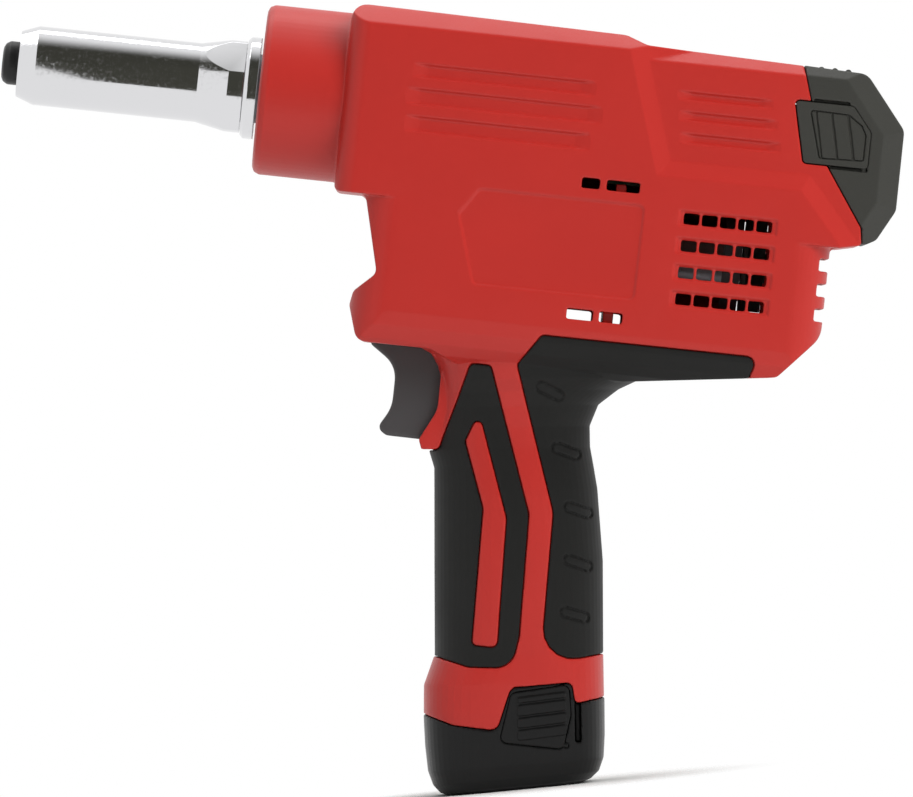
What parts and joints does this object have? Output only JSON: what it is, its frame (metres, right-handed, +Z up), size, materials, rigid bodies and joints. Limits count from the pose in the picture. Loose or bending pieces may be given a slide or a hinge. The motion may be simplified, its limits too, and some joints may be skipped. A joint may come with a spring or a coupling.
{
  "type": "battery rivet tool",
  "caption": "Pistol-shaped battery blind-rivet tool: chromed nose, red two-part housing with soft grips, trigger, mandrel collector and slide-in battery base.",
  "frame": {"origin": "centre of the battery's flat base, where the handle's axis meets it", "axes": "+Z up from the base; the nose points towards -X and 11.5 degrees up; the tool's left side faces -Y"},
  "size_m": [0.2968, 0.068, 0.2678],
  "materials": {
    "red_abs": "satin moulded ABS",
    "soft_grip": "matt overmoulded elastomer",
    "trigger_abs": "satin moulded ABS",
    "collector_nylon": "spark-eroded texture",
    "battery_abs": "satin moulded ABS",
    "chrome": "polished plate",
    "black_steel": "black oxide",
    "steel": "ground",
    "magnet": "sintered",
    "winding": "laminated core with copper winding",
    "cast_alloy": "die cast",
    "brass": "drawn",
    "board": "solder mask",
    "cell": "shrink wrap",
    "lens": "clear"
  },
  "bodies": {
    "housing": {"housing_left": "red_abs", "housing_right": "red_abs", "housing_screws": "steel", "grip_front_left": "soft_grip", "grip_front_right": "soft_grip", "grip_rear_left": "soft_grip", "grip_rear_right": "soft_grip", "nosepiece": "black_steel", "head_sleeve": "chrome", "lock_ring": "chrome", "mandrel_tube": "brass", "nut_bearings": "steel", "gear_case": "cast_alloy", "gear_cover": "cast_alloy", "output_bearings": "steel", "ring_gear": "steel", "motor_can": "steel", "motor_magnets": "magnet", "motor_cap": "trigger_abs", "motor_bearings": "steel", "trigger_spring": "steel", "trigger_switch": "trigger_abs", "control_board": "board", "terminal_block": "trigger_abs", "lamp_lens": "lens"},
    "rotor": {"motor_shaft": "steel", "rotor_core": "winding", "fan": "collector_nylon", "sun_pinion": "steel"},
    "first_carrier": {"carrier_first": "steel"},
    "output": {"carrier_second": "steel", "output_gear": "steel"},
    "nut": {"ball_nut": "steel", "nut_gear": "steel"},
    "puller": {"pull_rod": "steel", "anti_turn_pin": "steel", "jaw_case": "steel", "jaw_spring": "steel"},
    "jaws": {"jaws": "steel", "jaw_pusher": "steel"},
    "trigger": {"trigger": "trigger_abs"},
    "collector": {"collector": "collector_nylon"},
    "collector_tab_left": {"collector_tab_left": "collector_nylon"},
    "collector_tab_right": {"collector_tab_right": "collector_nylon"},
    "battery": {"battery_base": "battery_abs", "battery_stem": "battery_abs", "battery_cells": "cell", "battery_board": "board", "battery_contacts": "brass"},
    "battery_latch_left": {"battery_latch_left": "battery_abs"},
    "battery_latch_right": {"battery_latch_right": "battery_abs"},
    "first_planet_a": {"planet_first_a": "steel"},
    "second_planet_a": {"planet_second_a": "steel"},
    "first_planet_b": {"planet_first_b": "steel"},
    "second_planet_b": {"planet_second_b": "steel"},
    "first_planet_c": {"planet_first_c": "steel"},
    "second_planet_c": {"planet_second_c": "steel"}
  },
  "joints": [
    {"name": "motor_spin", "type": "hinge", "parent": "housing", "child": "rotor", "pos_m": [0.05415, 0, 0.17304], "axis": [0.9799, 0, -0.1994], "range_deg": [0, 55332.97]},
    {"name": "first_carrier_spin", "type": "hinge", "parent": "housing", "child": "first_carrier", "pos_m": [0.01985, 0, 0.18002], "axis": [0.9799, 0, -0.1994], "range_deg": [0, 10061.54]},
    {"name": "second_carrier_spin", "type": "hinge", "parent": "housing", "child": "output", "pos_m": [0.00515, 0, 0.18301], "axis": [0.9799, 0, -0.1994], "range_deg": [0, 1830.19]},
    {"name": "first_planet_a_spin", "type": "hinge", "parent": "first_carrier", "child": "first_planet_a", "pos_m": [0.02277, 0, 0.16932], "axis": [0.9799, 0, -0.1994], "range_deg": [-25870.96, 0]},
    {"name": "second_planet_a_spin", "type": "hinge", "parent": "output", "child": "second_planet_a", "pos_m": [0.01004, 0, 0.17191], "axis": [0.9799, 0, -0.1994], "range_deg": [-4704.63, 0]},
    {"name": "first_planet_b_spin", "type": "hinge", "parent": "first_carrier", "child": "first_planet_b", "pos_m": [0.02574, -0.00857, 0.18387], "axis": [0.9799, 0, -0.1994], "range_deg": [-25870.96, 0]},
    {"name": "second_planet_b_spin", "type": "hinge", "parent": "output", "child": "second_planet_b", "pos_m": [0.013, -0.00857, 0.18647], "axis": [0.9799, 0, -0.1994], "range_deg": [-4704.63, 0]},
    {"name": "first_planet_c_spin", "type": "hinge", "parent": "first_carrier", "child": "first_planet_c", "pos_m": [0.02574, 0.00857, 0.18387], "axis": [0.9799, 0, -0.1994], "range_deg": [-25870.96, 0]},
    {"name": "second_planet_c_spin", "type": "hinge", "parent": "output", "child": "second_planet_c", "pos_m": [0.013, 0.00857, 0.18647], "axis": [0.9799, 0, -0.1994], "range_deg": [-4704.63, 0]},
    {"name": "nut_spin", "type": "hinge", "parent": "housing", "child": "nut", "pos_m": [-0.00607, 0, 0.22816], "axis": [0.9799, 0, -0.1994], "range_deg": [-1441, 0]},
    {"name": "pull_slide", "type": "slide", "parent": "housing", "child": "puller", "axis": [0.9799, 0, -0.1994], "range_m": [0, 0.0201]},
    {"name": "jaw_slide", "type": "slide", "parent": "puller", "child": "jaws", "axis": [0.9799, 0, -0.1994], "range_m": [0, 0.002], "stiffness_N_per_m": 1500, "springref_m": -0.004, "deforming": ["jaw_spring"]},
    {"name": "trigger_slide", "type": "slide", "parent": "housing", "child": "trigger", "axis": [0.9799, 0, -0.1994], "range_m": [0, 0.006], "stiffness_N_per_m": 1200, "springref_m": -0.004, "deforming": ["trigger_spring"]},
    {"name": "collector_slide", "type": "slide", "parent": "housing", "child": "collector", "axis": [0.9799, 0, -0.1994], "range_m": [0, 0.03]},
    {"name": "collector_tab_left_press", "type": "hinge", "parent": "collector", "child": "collector_tab_left", "pos_m": [0.13405, -0.03, 0.19965], "axis": [-0.1994, 0, -0.9799], "range_deg": [0, 3], "stiffness_Nm_per_rad": 1, "springref_deg": -1.15},
    {"name": "collector_tab_right_press", "type": "hinge", "parent": "collector", "child": "collector_tab_right", "pos_m": [0.13405, 0.03, 0.19965], "axis": [0.1994, 0, 0.9799], "range_deg": [0, 3], "stiffness_Nm_per_rad": 1, "springref_deg": -1.15},
    {"name": "battery_slide", "type": "slide", "parent": "housing", "child": "battery", "axis": [-0.0785, 0, -0.9969], "range_m": [0, 0.09]},
    {"name": "battery_latch_left_press", "type": "hinge", "parent": "battery", "child": "battery_latch_left", "pos_m": [0.00535, -0.0235, 0.0152], "axis": [-0.9799, 0, 0.1994], "range_deg": [0, 3], "stiffness_Nm_per_rad": 1, "springref_deg": -1.15},
    {"name": "battery_latch_right_press", "type": "hinge", "parent": "battery", "child": "battery_latch_right", "pos_m": [0.00535, 0.0235, 0.0152], "axis": [0.9799, 0, -0.1994], "range_deg": [0, 3], "stiffness_Nm_per_rad": 1, "springref_deg": -1.15}
  ],
  "couplings": [
    {"joint": "first_carrier_spin", "follows": "motor_spin", "ratio": 0.18182},
    {"joint": "second_carrier_spin", "follows": "motor_spin", "ratio": 0.033058},
    {"joint": "first_planet_a_spin", "follows": "motor_spin", "ratio": -0.46753},
    {"joint": "second_planet_a_spin", "follows": "motor_spin", "ratio": -0.085006},
    {"joint": "first_planet_b_spin", "follows": "motor_spin", "ratio": -0.46753},
    {"joint": "second_planet_b_spin", "follows": "motor_spin", "ratio": -0.085006},
    {"joint": "first_planet_c_spin", "follows": "motor_spin", "ratio": -0.46753},
    {"joint": "second_planet_c_spin", "follows": "motor_spin", "ratio": -0.085006},
    {"joint": "nut_spin", "follows": "motor_spin", "ratio": -0.026024},
    {"joint": "pull_slide", "follows": "motor_spin", "m_per_rad": 0.000020709}
  ]
}
